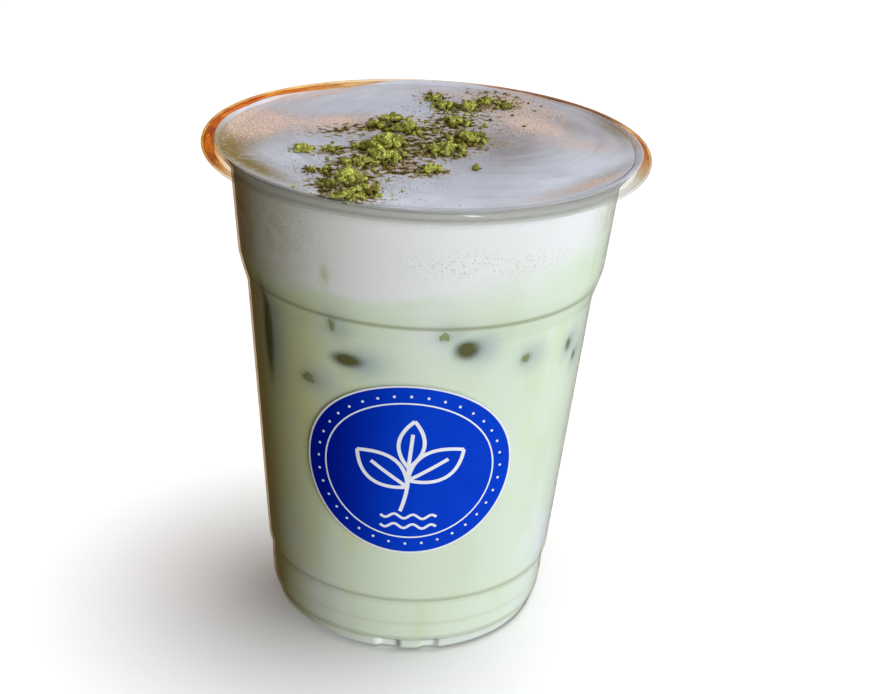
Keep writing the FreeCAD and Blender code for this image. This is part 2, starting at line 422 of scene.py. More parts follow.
def foam_material():
    """Poured milk foam: matte, with thin stirred streaks, fine bubbles with painted warm glints in
    patches, painted grey shade and painted pale sheen in patches on its top, pinholes at the wall, and tea
    powder soaking in."""
    material, tree, out = new_material("poured milk foam")
    centre = (SWIRL_MIDDLE[0] * MM, SWIRL_MIDDLE[1] * MM, 0.0)
    arm = node(tree, "ShaderNodeVectorMath", {0: place_on(tree), 1: centre}, operation="SUBTRACT").outputs[0]
    arm = node(tree, "ShaderNodeVectorMath", {0: arm, 1: (1, 1, 0)}, operation="MULTIPLY").outputs[0]
    out_by = node(tree, "ShaderNodeVectorMath", {0: arm}, operation="LENGTH").outputs["Value"]
    bearing = node(tree, "ShaderNodeVectorMath", {0: arm}, operation="NORMALIZE").outputs[0]
    turn = node(tree, "ShaderNodeSeparateXYZ", {0: bearing})
    stirred = node(tree, "ShaderNodeCombineXYZ", {
        0: maths(tree, "MULTIPLY", out_by, per_mm(1.8)),
        1: maths(tree, "MULTIPLY", turn.outputs[0], 1.6),
        2: maths(tree, "MULTIPLY", turn.outputs[1], 1.6),
    }).outputs[0]
    inputs = {"Vector": stirred, "Scale": 1.0, "Detail": 5.0}
    streaks = node(tree, "ShaderNodeTexNoise", inputs).outputs["Fac"]
    side = milk_colour(tree)
    round_holes = between(tree, cells(tree, 0.75), 0.38, 0.22)
    holes = maths(tree, "MULTIPLY", round_holes, attribute(tree, "bubbly"))
    side = mixed(tree, maths(tree, "MULTIPLY", holes, 0.5), side, colour("#B5AE90"))
    clouds = between(tree, noise(tree, 3.0, 6.0, rough=0.6), 0.2, 0.8)
    blotch = maths(tree, "MULTIPLY", attribute(tree, "soak"), clouds)
    side = mixed(tree, blotch, side, colour("#BCC08C"))
    # Painted grey shade in patches on the top
    grey = mixed(tree, attribute(tree, "painted_shade"), colour("#D9DCE7"), colour("#A7A1A1"))
    # Painted pale sheen in patches on the top
    grey = mixed(tree, attribute(tree, "painted_sheen"), grey, colour("#F0F4FC"))
    mottle = between(tree, noise(tree, 5.0, 5.0), 0.35, 0.7, 0.0, 0.3)
    grey = mixed(tree, mottle, grey, colour("#C2C2C8"))
    grey = mixed(tree, between(tree, streaks, 0.5, 0.75, 0.0, 0.32), grey, colour("#F0F3FA"))
    grey = mixed(tree, between(tree, streaks, 0.48, 0.25, 0.0, 0.3), grey, colour("#A9A6A4"))
    clouds = between(tree, noise(tree, 1.6, 6.0, rough=0.65), 0.2, 0.5)
    soaked = maths(tree, "MULTIPLY", attribute(tree, "green"), clouds)
    grey = mixed(tree, soaked, grey, colour("#947C30"))
    # Painted warm glints on fine bubbles, in patches, with brighter painted specks
    painted_warm_glints = attribute(tree, "painted_warm_glints")
    specks = noise(tree, 0.42, 2.0, rough=0.7)
    gate = maths(tree, "MULTIPLY_ADD", painted_warm_glints, -0.22, 0.67)
    speck = between(tree, maths(tree, "SUBTRACT", specks, gate), 0.0, 0.06)
    grey = mixed(tree, maths(tree, "MULTIPLY", painted_warm_glints, 0.6), grey, colour("#D2AE98"))
    grey = mixed(tree, maths(tree, "MULTIPLY", speck, between(tree, painted_warm_glints, 0.02, 0.3)), grey, colour("#FFE2CC"))
    dust = maths(tree, "MULTIPLY_ADD", attribute(tree, "stain"), 0.2, noise(tree, 1.7, 5.0, rough=0.62))
    dusty = mixed(tree, between(tree, dust, 0.66, 0.74), colour("#BCA274"), colour("#4A3A10"))
    near_powder = between(tree, attribute(tree, "stain"), 0.04, 0.3)
    laid = maths(tree, "MULTIPLY", between(tree, dust, 0.6, 0.67), near_powder)
    grey = mixed(tree, laid, grey, dusty)
    base = mixed(tree, attribute(tree, "top"), side, grey)
    height = maths(tree, "MULTIPLY_ADD", streaks, 0.8, cells(tree, 0.5))
    principled(tree, out, base, 0.6, Normal=bumped(tree, height, 0.05, 0.6), Specular_IOR_Level=0.2)
    return material


def ice_material():
    """Clear ice pressed against the wall, dark olive where the drink shows through it."""
    material, tree, out = new_material("clear wet ice")
    base = mixed(tree, noise(tree, 2.0, 3.0), colour("#464A1E"), colour("#666A34"))
    base = mixed(tree, attribute(tree, "clear"), base, colour("#AEBB88"))
    principled(tree, out, base, 0.2, Specular_IOR_Level=0.1)
    return material


def powder_material():
    """Sifted green tea powder in soft crumbs: matte, bright yellow-green, with painted brown-olive
    shade in its folds and underneath."""
    material, tree, out = new_material("sifted green tea powder")
    fine = noise(tree, 0.35, 4.0, rough=0.65)
    base = mixed(tree, between(tree, fine, 0.38, 0.62), colour("#7C7E22"), colour("#E6EC7C"))
    base = mixed(tree, attribute(tree, "tone"), base, colour("#645616"))
    # Painted shade in the folds and under each crumb
    base = mixed(tree, attribute(tree, "painted_fold_shade"), base, colour("#342403"))
    principled(tree, out, base, 0.9, Normal=bumped(tree, noise(tree, 0.25, 4.0), 0.16))
    return material


def paper_material():
    """Satin printed paper: deep blue ink with painted shade deepening it towards the left, and a bare white
    edge.
    """
    material, tree, out = new_material("satin printed label paper")
    mottled = mixed(tree, noise(tree, 7.0, 3.0), colour("#0336C0"), colour("#0642D4"))
    edge = between(tree, attribute(tree, "out"), 0.978, 0.986)
    # Painted shade that deepens the blue towards the left
    painted_left_shade = between(tree, along_axis(tree, 0), 2 * MM, -20 * MM)
    mottled = mixed(tree, painted_left_shade, mottled, colour("#00179A"))
    base = mixed(tree, edge, mottled, colour("#E9EDF6"))
    normal = bumped(tree, noise(tree, 0.4, 2.0), 0.01)
    principled(tree, out, base, 0.5, Normal=normal, Specular_IOR_Level=0.03)
    return material


def ink_material():
    """White ink, a little uneven, on the label."""
    material, tree, out = new_material("white screen ink")
    base = mixed(tree, noise(tree, 1.5, 2.0), colour("#E4ECFA"), colour("#F4F8FF"))
    principled(tree, out, base, 0.5)
    return material


def floor_material():
    """Matt white studio sweep."""
    material, tree, out = new_material("matt white sweep")
    soft = mixed(tree, noise(tree, 300.0, 2.0), colour("#F2F2F3"), colour("#F6F6F7"))
    glow = {"Emission_Color": colour("#FFFFFF"), "Emission_Strength": 0.17}
    principled(tree, out, soft, 0.95, Specular_IOR_Level=0.0, **glow)
    return material


# The drink

def milk_height(x, y):
    """Height of the surface where the latte ends and the foam begins: a slope, a curve and ripples."""
    waves = np.sin(2 * math.pi * x / 26.0) + np.cos(2 * math.pi * y / 26.0)
    return MILK_MIDDLE + 0.11 * x + 0.0022 * x * x + 0.3 * waves


def contents_path():
    """Points (radius, height) of the skin of what fills the cup, up to the foam's edge."""
    path = refined(bent_path(WALL - REACH), 0.7, 0.3)
    edge = np.interp(FOAM_TOP, path[-6:, 1], path[-6:, 0])
    return np.vstack([path[path[:, 1] < FOAM_TOP], [edge, FOAM_TOP]])


def wall_at(path, height):
    """Radius of the wall's inside at a height over the foot."""
    wall_part = path[path[:, 1].argmin():]
    return np.interp(height, wall_part[:, 1], wall_part[:, 0])


def ring_points(radius, height, angles):
    """Points at a radius and a height round the axis; angles go from the front towards +X."""
    radius, height, angles = np.broadcast_arrays(radius, height, angles)
    return np.stack([radius * np.sin(angles), -radius * np.cos(angles), height], -1)


def interface(path, angles):
    """Radius and height at the wall where latte and foam meet, found by working out each from the other
    four times over."""
    height = np.full(len(angles), MILK_MIDDLE)
    for _ in range(4):
        radius = wall_at(path, height)
        height = milk_height(radius * np.sin(angles), -radius * np.cos(angles))
    return radius, height


def foaminess(points):
    """From 0 in the latte to 1 in the foam, by height over their meeting surface. They part within a few
    millimetres at the front left, and over a longer height towards the right."""
    x, y, z = points[..., 0], points[..., 1], points[..., 2]
    blend = 3.5 + 12.0 * smooth(-4.0, 22.0, x) + 8.0 * smooth(-18.0, -32.0, x)
    return 0.5 + (z - milk_height(x, y)) / blend


BARE_CORE = 20.0             # inside this radius nothing is marked by its place on the wall


def wall_spots(points, places):
    """Soft patches on the wall, the strongest at each point: each has its angle, height, half width, half
    height and strength."""
    angles = np.arctan2(points[..., 0], -points[..., 1])
    radius = np.hypot(points[..., 0], points[..., 1])
    total = np.zeros(points.shape[:-1])
    for angle, height, wide, tall, strength in places:
        off = (angles - math.radians(angle) + math.pi) % (2 * math.pi) - math.pi
        spread = (off * radius / wide) ** 2 + ((points[..., 2] - height) / tall) ** 2
        total = np.maximum(total, strength * np.exp(-spread))
    return total * (radius > BARE_CORE)


# Where ice comes to the wall: angle, height, half width and half height of the patch, and how dark it is
ICE_SPOTS = [
    (-22.3, 73.1, 2.9, 1.3, 1.0),
    (15.6, 77.4, 2.2, 1.8, 1.0),
    (8.1, 80.7, 1.7, 1.6, 0.35),
    (37.0, 73.3, 1.5, 1.3, 0.55),
    (59.2, 72.2, 1.1, 1.6, 0.7),
    (66.0, 68.0, 1.0, 1.5, 0.6),
    (-37.2, 66.3, 2.4, 1.6, 0.5),
    (-58.0, 72.0, 1.6, 9.0, 0.9),
    (-27.0, 80.5, 1.0, 2.2, 0.45),
    (105.0, 70.0, 2.5, 1.6, 0.9),
    (128.0, 76.5, 1.6, 1.6, 0.7),
    (163.0, 69.0, 2.8, 1.5, 1.0),
    (188.0, 75.5, 1.5, 1.2, 0.6),
    (214.0, 66.0, 2.2, 1.8, 0.9),
    (247.0, 74.0, 2.0, 1.4, 0.8),
]

# Places on the wall, as in wall_spots: unmixed milk low in the cup, yellower drink, foam with tea in it,
# and pinholes in the foam
PALE_PLACES = [
    (-38.0, 12.0, 8.0, 9.0, 0.8), (-52.0, 24.0, 7.0, 8.0, 0.5), (70.0, 22.0, 11.0, 13.0, 1.0),
    (60.0, 8.0, 10.0, 5.0, 0.6), (4.0, 84.0, 4.0, 7.0, 0.9), (150.0, 14.0, 12.0, 9.0, 0.7),
    (230.0, 20.0, 10.0, 10.0, 0.6),
]
YELLOW_PLACES = [
    (-42.0, 62.0, 9.0, 26.0, 0.75), (-62.0, 50.0, 12.0, 60.0, 0.8), (-22.0, 55.0, 4.0, 30.0, 0.35),
    (140.0, 55.0, 14.0, 30.0, 0.4), (235.0, 60.0, 14.0, 30.0, 0.5),
]
SOAKED_PLACES = [
    (-28.3, 92.2, 1.3, 3.0, 1.0), (-48.0, 98.0, 9.0, 9.0, 0.6), (-66.0, 97.0, 10.0, 12.0, 0.8),
    (72.0, 101.0, 8.0, 6.0, 0.7), (130.0, 99.0, 14.0, 6.0, 0.5), (215.0, 98.0, 16.0, 6.0, 0.5),
]
BUBBLY_PLACES = [
    (12.0, 96.5, 12.0, 3.0, 1.0), (33.0, 96.0, 12.0, 2.5, 0.8), (-42.0, 100.0, 10.0, 5.0, 0.8),
    (68.0, 101.0, 12.0, 3.5, 0.9), (115.0, 98.0, 20.0, 4.0, 0.8), (200.0, 97.0, 25.0, 4.0, 0.8),
]


def ice_patches():
    """A painted blue-grey shadow beside each piece of ice, and the dark where it shows."""
    painted_shadows = [
        (a + 1.7 * wide, z, wide + 2.6, tall + 2.0, 0.3 + 0.55 * dark) for a, z, wide, tall, dark in ICE_SPOTS
    ]
    darks = [(a, z, wide * 1.3, tall * 1.3, dark) for a, z, wide, tall, dark in ICE_SPOTS]
    return painted_shadows, darks


def make_latte(path, angles, material):
    """The drink: the wall's inside from the floor up to the foam, closed by the meeting surface. Above
    split, each ring lies at an even share of the height that is left at its angle."""
    split = TOP - 27.0
    low = path[1:][path[1:, 1] < split]
    low_radius = notched(low[:, :1], low[:, 1:], angles, FOOT - NOTCH_DEPTH - WALL + REACH)
    low_rings = ring_points(low_radius, low[:, 1:], angles)
    edge, rise = interface(path, angles)
    share = np.linspace(0, 1, 14)[:, None]
    heights = split + share * (rise - split)
    side = ring_points(wall_at(path, heights), heights, angles)
    inward = np.linspace(0.98, 0.02, 30)[:, None] * edge
    cap = ring_points(inward, 0.0, angles)
    cap[..., 2] = milk_height(cap[..., 0], cap[..., 1])
    rings = np.concatenate([low_rings, side, cap])
    start, end = np.array([0, 0, path[0, 1]]), np.array([0, 0, milk_height(0.0, 0.0)])
    points, quads, fans = closed_rings(rings, start, end)
    painted_shadows, darks = ice_patches()
    pale = np.maximum(wall_spots(points, PALE_PLACES), 0.6 * (1 - smooth(3.0, 5.0, points[:, 2])))
    values = {
        "foaminess": foaminess(points), "pale": pale,
        "ice_painted_shadow": wall_spots(points, painted_shadows), "ice_dark": smooth(0.1, 0.8, wall_spots(points, darks)),
        "yellow": wall_spots(points, YELLOW_PLACES),
    }
    made = piece("latte_drink", points, quads, fans, values, material, 50)
    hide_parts("latte")
    return made


def stained(x, y):
    """Where powder has soaked into the foam: a soft patch round every heap, and a faint band between."""
    heaps = [(hx, hy + 0.6, spread * 1.9, spread * 1.5, 0, 1.0) for hx, hy, spread, _, _ in HEAPS]
    heaps += DUSTY_PATCHES
    along = BAND_END - BAND_START
    along = along / np.hypot(*along)
    aside = np.abs((x - BAND_START[0]) * along[1] - (y - BAND_START[1]) * along[0])
    band = 0.45 * np.exp(-(aside / (BAND_WIDTH * 0.85)) ** 2)
    return np.clip(spots(x, y, heaps) + band, 0, 1)


def spots(x, y, places):
    """Soft oval patches added up: each has its middle, its half sizes, its turn and its strength."""
    total = np.zeros_like(x)
    for px, py, long, short, turn, strength in places:
        c, s = math.cos(math.radians(turn)), math.sin(math.radians(turn))
        along, across = (x - px) * c + (y - py) * s, (y - py) * c - (x - px) * s
        total += strength * np.exp(-((along / long) ** 2 + (across / short) ** 2))
    return np.clip(total, 0, 1)


# Patches on the foam's top, as in spots: scattered dust, painted warm glints on bubbles, foam with tea in it,
# painted grey shade and painted pale sheen, and the painted warm glints on the film's bubbles
DUSTY_PATCHES = [
    (-20.0, 6.0, 8.0, 4.5, 25, 0.9),
    (-4.0, -20.0, 8.0, 3.5, 0, 0.9),
    (4.0, -4.0, 8.0, 4.0, 60, 0.5),
]
PAINTED_GLINT_PATCHES = [
    (-35.0, 9.0, 11.0, 7.0, 65, 1.0),
    (-20.0, 14.0, 9.0, 4.0, 35, 0.9),
    (22.5, 18.0, 13.0, 7.5, -50, 1.0),
    (-39.0, 8.0, 5.0, 13.0, 0, 0.9),
    (22.0, 31.0, 13.0, 5.0, -35, 0.6),
    (-16.0, 10.0, 9.0, 5.0, 20, 0.45),
    (36.0, 3.0, 9.0, 5.0, -10, 0.5),
    (10.0, 38.0, 16.0, 3.0, -10, 0.5),
    (-26.0, 33.0, 14.0, 2.0, 40, 0.8),
    (33.0, -24.0, 16.0, 2.2, 42, 0.8),
]
GREEN_PATCHES = [
    (-41.0, -4.0, 13.0, 6.5, 88, 1.0),
    (-34.0, -22.0, 12.0, 3.6, -54, 0.9),
    (41.0, 14.0, 11.0, 2.6, -68, 0.7),
    (36.0, -19.0, 14.0, 2.0, 55, 0.4),
    (-8.0, -2.0, 16.0, 7.0, 60, 0.25),
]
PAINTED_SHADE_PATCHES = [
    (18.0, 0.0, 16.0, 7.5, 80, 1.0),
    (2.0, -12.0, 10.0, 8.0, 0, 0.3),
    (33.0, 17.0, 10.0, 2.5, -60, 0.6),
    (12.0, 8.0, 9.0, 12.0, 0, 0.35),
    (-22.0, 3.0, 12.0, 8.0, 0, 0.25),
]
PAINTED_SHEEN_PATCHES = [
    (0.0, -38.0, 32.0, 5.0, 0, 0.8),
    (-18.0, 36.0, 20.0, 5.0, 20, 0.6),
    (27.0, -23.0, 16.0, 8.0, 45, 0.8),
    (36.0, -4.0, 8.0, 12.0, 0, 0.8),
    (-28.0, -14.0, 8.0, 6.0, 0, 0.5),
]
FILM_PAINTED_GLINTS = [
    (46.0, 12.0, 5.0, 16.0, 0, 0.9),
    (25.0, 38.0, 18.0, 5.0, -50, 0.8),
    (-30.0, 32.0, 14.0, 5.0, 45, 0.7),
]
SWIRL_MIDDLE = (10.0, 10.0)


def foam_relief(x, y):
    """Height of the foam's top: faint swirled ridges round one point, soft swells, and a rise at the wall."""
    across, along = x - SWIRL_MIDDLE[0], y - SWIRL_MIDDLE[1]
    out = np.hypot(across, along)
    swirl = np.sin(out * 1.15 + 1.3 * np.arctan2(along, across) + 0.8 * np.sin(x / 7.0))
    fading = smooth(6, 14, out) * (0.35 + 0.65 * smooth(-5, 15, x))
    swells = 0.12 * np.sin(x / 9.0 + 1.0) * np.cos(y / 11.0) + 0.05 * np.sin(x / 2.3 + y / 3.1)
    radius, bearing = np.hypot(x, y), np.degrees(np.arctan2(x, -y))
    heaped = smooth(10, 60, bearing) + 1 - smooth(-178, -150, bearing)
    rim_rise = 0.35 * smooth(41.0, 43.9, radius) + 0.75 * heaped * smooth(32.0, 44.0, radius)
    return 0.035 * swirl * fading + swells + rim_rise


def make_foam(path, angles, material):
    """The foam: the meeting surface, the wall's inside above it, and its swirled top."""
    edge, rise = interface(path, angles)
    outward = np.linspace(0.05, 0.97, 12)[:, None] * edge
    under = ring_points(outward, 0.0, angles)
    under[..., 2] = milk_height(under[..., 0], under[..., 1])
    share = np.linspace(0, 1, 40)[:, None]
    heights = rise + share * (FOAM_TOP - rise)
    side = ring_points(wall_at(path, heights), heights, angles)
    top_share = 1 - np.linspace(0.004, 1, 150, endpoint=False)[:, None]
    top = ring_points(top_share * path[-1, 0], FOAM_TOP, angles)
    top[..., 2] += foam_relief(top[..., 0], top[..., 1])
    rings = np.concatenate([under, side, top])
    middle = foam_relief(np.array(0.0), np.array(0.0))
    start, end = np.array([0, 0, milk_height(0.0, 0.0)]), np.array([0, 0, FOAM_TOP + middle])
    points, quads, fans = closed_rings(rings, start, end)
    x, y = points[:, 0], points[:, 1]
    below = np.zeros(under[..., 0].size + side[..., 0].size)
    on_top = np.concatenate([below, np.ones(top[..., 0].size), [0, 1]])
    values = {
        "foaminess": foaminess(points), "top": on_top,
        "painted_warm_glints": spots(x, y, PAINTED_GLINT_PATCHES), "green": spots(x, y, GREEN_PATCHES),
        "painted_shade": spots(x, y, PAINTED_SHADE_PATCHES), "painted_sheen": spots(x, y, PAINTED_SHEEN_PATCHES),
        "stain": stained(x, y), "bubbly": wall_spots(points, BUBBLY_PLACES),
        "soak": wall_spots(points, SOAKED_PLACES), "yellow": wall_spots(points, YELLOW_PLACES),
    }
    made = piece("milk_foam", points, quads, fans, values, material, 50)
    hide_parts("foam")
    return made


def make_film(material):
    """A thin film of foam that has run up over the flare of the rim, widest at the right and the back: a
    closed ring whose section follows the sheet and swells off it like half a wave, by up to a third of a
    millimetre."""
    middle = np.array([RIM - ROLL, TOP - ROLL])
    turns = np.linspace(flare()[1] + math.pi / 2, math.radians(85), 8)
    inside = bent_path(WALL - REACH)
    run = inside[-1]
    low_height = FOAM_TOP - 0.3
    low = np.array([np.interp(low_height, *inside[-8:, ::-1].T), low_height])
    curl = middle + (ROLL - REACH) * np.stack([np.cos(turns), np.sin(turns)], 1)
    line = np.vstack([low + (run - low) * np.linspace(0, 1, 6)[:-1, None], curl])
    along = np.concatenate([[0], np.cumsum(np.hypot(*np.diff(line, axis=0).T))])
    ahead = np.gradient(line, along, axis=0)
    normal = np.stack([-ahead[:, 1], ahead[:, 0]], 1)
    angles = np.linspace(0, 2 * math.pi, 420, endpoint=False)
    bearing = (np.degrees(angles) + 180) % 360 - 180
    reach = 0.22 + 0.66 * smooth(10, 55, bearing) + 0.66 * (1 - smooth(-178, -150, bearing))
    reach += 0.26 * smooth(-150, -125, bearing) * smooth(-38, -65, bearing)
    reach -= 0.2 * smooth(98, 118, bearing) * smooth(176, 160, bearing)
    reach += 0.03 * np.sin(7 * angles) + 0.02 * np.sin(17 * angles + 1)
    share = np.linspace(0, 1, 14)
    at = np.clip(reach, 0.1, 1)[:, None] * share * along[-1]
    sheet = np.stack([np.interp(at, along, line[:, k]) for k in (0, 1)], -1)
    lift = (REACH + 0.02 + 0.5 * np.sin(math.pi * share) ** 0.7 * (1 - share))[None, :, None]
    face = sheet + lift * np.stack([np.interp(at, along, normal[:, k]) for k in (0, 1)], -1)
    section = np.concatenate([sheet, face[:, ::-1]], 1)
    points = ring_points(section[..., 0], section[..., 1], angles[:, None])
    rows, columns = points.shape[:2]
    quads = grid_quads(rows + 1, columns) % (rows * columns)
    points = points.reshape(-1, 3)
    x, y = points[:, 0], points[:, 1]
    # The film gets painted warm glints, half-strength painted sheen and no painted shade
    values = {
        "top": np.ones(len(x)), "painted_warm_glints": spots(x, y, FILM_PAINTED_GLINTS), "green": spots(x, y, GREEN_PATCHES),
        "painted_shade": np.zeros(len(x)), "painted_sheen": np.full(len(x), 0.5),
    }
    return piece("foam_film", points, quads, (), values, material)


def make_ice(path, material):
    """Where each cube meets the wall: a pad that follows the wall and stands just through the drink's
    skin. Its outline is a circle pushed out towards a square and wavered by two sine waves, and its back
    is a blunt cone into the drink."""
    all_points, all_quads, clear, offset = [], [], [], 0
    rings = np.linspace(0.12, 1, 7)[:, None]
    turns = np.linspace(0, 2 * math.pi, 28, endpoint=False)
    for k, (angle, height, wide, tall, dark) in enumerate(ICE_SPOTS):
        wobble = 1 + 0.16 * np.sin(3 * turns + 1.7 * k) + 0.10 * np.sin(5 * turns + 2.9 * k)
        square = 1 / np.maximum(np.abs(np.cos(turns)), np.abs(np.sin(turns))) ** 0.35
        spread = rings * wobble * square
        z = height + 0.8 * tall * spread * np.sin(turns)
        r = wall_at(path, z) + 0.05 - 0.25 * rings ** 6
        place = math.radians(angle) + 0.8 * wide * spread * np.cos(turns) / r
        front = ring_points(r, z, place)
        back = ring_points(r - 1.0 - 2.0 * (1 - rings), z, place)[::-1]
        middle_r = wall_at(path, height)
        start = ring_points(middle_r + 0.05, height, math.radians(angle))
        end = ring_points(middle_r - 3.0, height, math.radians(angle))
        points, quads, fans = closed_rings(np.concatenate([front, back]), start, end)
        all_points.append(points)
        clear.append(np.full(len(points), (1 - dark) * 0.9))
        all_quads.append((quads + offset, fans + offset))
        offset += len(points)
    quads = np.vstack([q for q, _ in all_quads])
    fans = np.vstack([f for _, f in all_quads])
    values = {"clear": np.concatenate(clear)}
    return piece("ice_at_wall", np.vstack(all_points), quads, fans, values, material)


# Tea powder on the foam

def ball(detail):
    """Points and triangles of a unit ball from a divided icosahedron."""
    shape = bmesh.new()
    bmesh.ops.create_icosphere(shape, subdivisions=detail, radius=1.0)
    points = np.array([v.co[:] for v in shape.verts])
    triangles = np.array([[v.index for v in f.verts] for f in shape.faces])
    shape.free()
    return points, triangles


def crumbs(name, middles, sizes, detail, material):
    """Joined crumbs. Each is a ball cut by flat planes of its own, with its edges rounded, then roughened
    by waves in six directions and stretched. It has painted shade below and in its dents."""
    unit, triangles = ball(detail)
    count = len(middles)
    planes = seeded.normal(size=(count, 11, 3))
    planes /= np.linalg.norm(planes, axis=2)[..., None]
    depths = seeded.uniform(0.5, 1.0, (count, 11, 1))
    facing = np.einsum("cpk,vk->cpv", planes, unit)
    nearness = np.clip(facing / depths, 0.8, None)
    reach = np.power(np.power(nearness, 14).sum(1), -1 / 14) / 0.95
    waves = seeded.normal(size=(count, 6, 3))
    waves *= (np.array([2.5, 4.0, 6.0, 8.5, 11.0, 14.0]) / np.linalg.norm(waves, axis=2))[..., None]
    phases = seeded.uniform(0, 2 * math.pi, (count, 6, 1))
    heights = np.array([0.11, 0.10, 0.08, 0.065, 0.05, 0.04])[None, :, None]
    push = (heights * np.sin(np.einsum("cwk,vk->cwv", waves, unit) + phases)).sum(1)
    stretch = seeded.uniform(0.65, 1.35, (count, 1, 3)) * np.array([1.0, 1.0, 0.85])
    shape = unit[None] * (reach + push)[..., None] * stretch
    points = middles[:, None, :] + sizes[:, None, None] * shape
    # Painted shade below each crumb and in its dents
    painted_fold_shade = np.clip(-3.2 * push + 0.05 - 0.9 * unit[None, :, 2], 0, 1)
    tone = np.repeat(np.clip(seeded.uniform(0.1, 1.3, count) - 0.55 * sizes, 0, 0.9), len(unit))
    index = (triangles[None] + np.arange(count)[:, None, None] * len(unit)).reshape(-1, 3)
    values = {"painted_fold_shade": painted_fold_shade.ravel(), "tone": tone}
    return piece(name, points.reshape(-1, 3), np.zeros((0, 4)), index, values, material)


# Heaps of powder on the foam: place, how far crumbs spread, how many, and size of the largest
HEAPS = [
    (-4.0, 8.3, 2.6, 64, 1.9),
    (-8.5, -12.6, 3.0, 88, 1.9),
    (-14.9, -27.7, 2.6, 64, 2.1),
    (-8.0, -2.0, 3.2, 80, 1.9),
    (-12.5, -5.7, 2.4, 40, 1.5),
    (-7.6, 15.5, 2.4, 40, 1.4),
    (-11.1, 10.1, 2.6, 40, 1.2),
    (-12.6, -16.0, 2.2, 32, 1.3),
    (0.6, -19.1, 2.0, 24, 1.4),
    (8.4, 3.0, 4.0, 104, 1.3),
    (4.4, -5.6, 3.2, 72, 1.5),
    (1.5, -6.1, 2.6, 40, 1.3),
    (-26.0, -8.7, 1.6, 28, 1.3),
    (-18.6, -31.1, 1.8, 28, 1.0),
    (-12.7, -34.6, 3.0, 56, 1.2),
    (-14.7, -38.5, 2.6, 64, 1.2),
    (0.8, 35.4, 2.0, 32, 1.1),
    (4.1, 28.3, 2.6, 48, 1.3),
    (8.7, 28.3, 1.8, 32, 1.6),
    (12.9, 33.4, 1.8, 32, 1.1),
    (17.0, 30.7, 2.0, 28, 1.0),
    (6.3, 15.6, 3.0, 56, 1.1),
    (10.3, -16.2, 0.5, 12, 1.1),
    (-19.7, -9.0, 2.0, 32, 0.8),
    (-16.2, -16.6, 1.6, 32, 0.9),
    (-19.7, -23.1, 1.6, 24, 0.8),
    (-22.7, -23.0, 1.4, 24, 0.7),
]
LARGE_CRUMBS = 140           # how many of the largest crumbs get finer meshes
BAND_CRUMBS = 900            # crumbs and grains scattered along a band over the foam
BAND_GRAINS = 2600
BAND_START = np.array([-18.0, -34.0])
BAND_END = np.array([13.0, 34.0])
BAND_WIDTH = 9.0


def on_foam(x, y, sink):
    """Points on the foam's top, sunk into it by sink."""
    return np.stack([x, y, FOAM_TOP + foam_relief(x, y) - sink], -1)


def along_band(count, overrun, width, limit):
    """Places over the foam: even by chance along the band and past its ends by overrun of its length, and
    spread from it as a bell curve of that width. None is further than limit from the cup's axis."""
    share = seeded.uniform(-overrun, 1 + overrun, count)[:, None]
    spread = seeded.normal(0, width, (count, 2))
    place = BAND_START + share * (BAND_END - BAND_START) + spread
    return place[np.hypot(*place.T) < limit]


def make_powder(material):
    """Powder in heaps of large crumbs with smaller ones round them, and as crumbs and grains along a band."""
    middles, sizes = [], []
    for x, y, spread, count, largest in HEAPS:
        off = seeded.normal(0, spread * 0.55, (count, 2))
        size = 0.6 * largest * np.linspace(1, 0, count) ** 2.0 + 0.16
        off *= (1.45 - 0.75 * size / size[0])[:, None]
        place = on_foam(x + off[:, 0], y + off[:, 1], 0.0)
        piled = np.exp(-(np.hypot(*off.T) / spread) ** 2) * (np.arange(count) < count // 3)
        place[:, 2] += size * 0.4 + piled * largest * 0.4
        middles.append(place)
        sizes.append(size)
    middles = np.vstack(middles)
    sizes = np.concatenate(sizes)
    large = sizes > np.sort(sizes)[-LARGE_CRUMBS]
    made = [crumbs("powder_clumps", middles[large], sizes[large], 4, material)]
    place = along_band(BAND_CRUMBS, 0.05, BAND_WIDTH * 0.62, 42.5)
    size = 0.1 + 0.45 * seeded.uniform(0, 1, len(place)) ** 5
    middles = np.vstack([middles[~large], on_foam(*place.T, -0.3 * size)])
    made.append(crumbs("powder_crumbs", middles, np.concatenate([sizes[~large], size]), 2, material))
    place = along_band(BAND_GRAINS, 0.1, BAND_WIDTH * 0.9, 43.0)
    size = seeded.uniform(0.05, 0.15, len(place))
    made.append(crumbs("powder_grains", on_foam(*place.T, -0.2 * size), size, 1, material))
    return made


# Label

label_low, label_high = box_mm("label")
LABEL_HEIGHT = (label_low[2] + label_high[2]) / 2
WALL_SLOPE = (RIM - WALL_TOP_INSET - FOOT - WALL_LOW_FLARE) / (TOP - WALL_TOP_DROP - WALL_LOW)


def on_label(u, v, lift):
    """Points on the wall where u and v run from -1 to 1 over the label's width along the wall and its
    length up it."""
    half_width, half_length = LABEL_HALF
    z = LABEL_HEIGHT + v * half_length * math.cos(math.atan(WALL_SLOPE))
    radius = FOOT + WALL_LOW_FLARE + WALL_SLOPE * (z - WALL_LOW)
    return ring_points(radius + lift, z, math.radians(LABEL_ANGLE) + u * half_width / radius)


def make_label(material):
    """An oval of paper bent round the wall, its back on the cup's skin: rings from its middle out over
    the front, and back in behind."""
    turns = np.linspace(0, 2 * math.pi, 160, endpoint=False)
    out = np.linspace(0.03, 1, 60)[:, None]
    front = on_label(out * np.cos(turns), out * np.sin(turns), PAPER)
    back = on_label(out * np.cos(turns), out * np.sin(turns), 0.0)[::-1]
    start, end = on_label(0.0, 0.0, PAPER), on_label(0.0, 0.0, 0.0)
    points, quads, fans = closed_rings(np.concatenate([front, back]), start, end)
    outs = np.concatenate([np.repeat(out[:, 0], len(turns)), np.repeat(out[::-1, 0], len(turns)), [0, 0]])
    made = piece("label_paper", points, quads, fans, {"out": outs}, material, 40)
    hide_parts("label")
    return made


